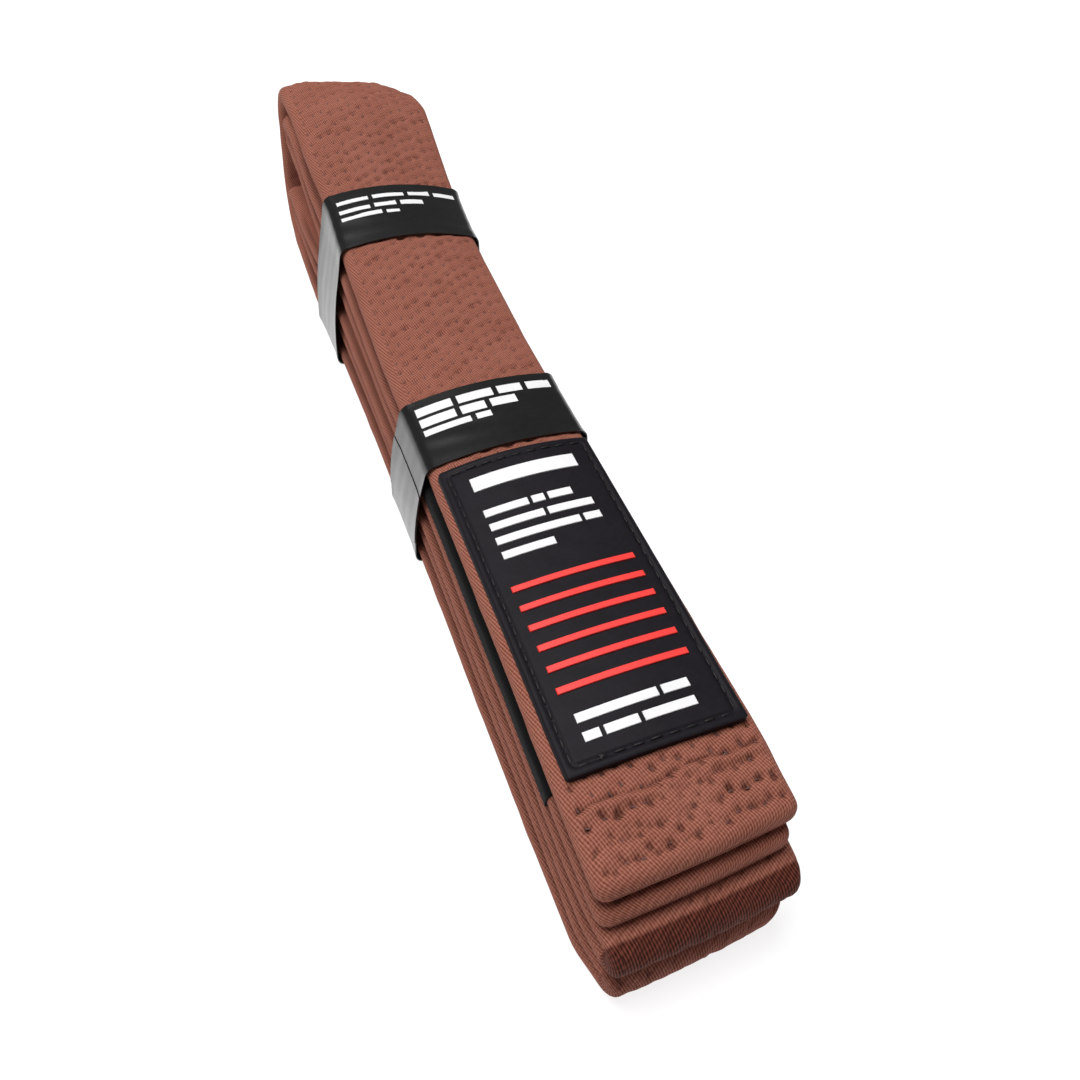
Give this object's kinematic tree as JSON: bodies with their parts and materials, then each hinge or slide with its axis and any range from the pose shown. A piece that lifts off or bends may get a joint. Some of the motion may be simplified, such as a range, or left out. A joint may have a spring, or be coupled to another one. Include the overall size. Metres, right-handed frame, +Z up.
{
  "type": "martial arts belt",
  "caption": "Brown cotton martial arts belt with a rubber end patch and a black rank bar, folded flat into a bundle and held by paper bands.",
  "frame": {"origin": "bottom centre of the folded bundle's box", "axes": "+X across the belt's width, +Y along the bundle towards its looped end (the two loose ends are at -Y), +Z up, away from the floor"},
  "size_m": [0.043, 0.2562, 0.045],
  "materials": {
    "brown_twill": "matte",
    "core_cotton": "matte",
    "brown_thread": "satin",
    "black_cotton": "matte",
    "black_thread": "satin",
    "patch_rubber": "satin",
    "red_rubber": "satin",
    "white_rubber": "satin",
    "black_paper": "satin",
    "white_ink": "satin",
    "glue": "satin"
  },
  "bodies": {
    "root": {"belt_cover": "brown_twill", "belt_core_ply_1": "core_cotton", "belt_core_ply_2": "core_cotton", "belt_core_ply_3": "core_cotton", "belt_quilting_thread": "brown_thread"},
    "patch_end": {"patch_end_cover": "brown_twill", "patch_end_core_ply_1": "core_cotton", "patch_end_core_ply_2": "core_cotton", "patch_end_core_ply_3": "core_cotton", "patch_end_quilting_thread": "brown_thread", "patch_end_hem_stitching": "brown_thread", "patch_base": "patch_rubber", "patch_edge_stitching": "black_thread", "patch_red_stripes": "red_rubber", "patch_white_marks": "white_rubber"},
    "bar_end": {"bar_end_cover": "brown_twill", "bar_end_core_ply_1": "core_cotton", "bar_end_core_ply_2": "core_cotton", "bar_end_core_ply_3": "core_cotton", "bar_end_quilting_thread": "brown_thread", "bar_end_hem_stitching": "brown_thread", "rank_bar_sleeve": "black_cotton", "rank_bar_stitching": "black_thread"},
    "front_band": {"front_band_paper": "black_paper", "front_band_tab": "black_paper", "front_band_glue": "glue", "front_band_print": "white_ink"},
    "rear_band": {"rear_band_paper": "black_paper", "rear_band_tab": "black_paper", "rear_band_glue": "glue", "rear_band_print": "white_ink"}
  },
  "joints": [
    {"name": "patch_end_lift", "type": "hinge", "parent": "root", "child": "patch_end", "pos_m": [0, -0.0242, 0.03045], "axis": [-1, 0, 0], "range_deg": [0, 45]},
    {"name": "bar_end_lift", "type": "hinge", "parent": "root", "child": "bar_end", "pos_m": [0, -0.0242, 0.02535], "axis": [-1, 0, 0], "range_deg": [0, 18]},
    {"name": "front_band_slide", "type": "slide", "parent": "root", "child": "front_band", "axis": [0, 1, 0], "range_m": [0, 0.015]},
    {"name": "rear_band_slide", "type": "slide", "parent": "root", "child": "rear_band", "axis": [0, -1, 0], "range_m": [0, 0.03]}
  ],
  "couplings": [
    {"joint": "bar_end_lift", "follows": "patch_end_lift", "ratio": 0.4}
  ]
}
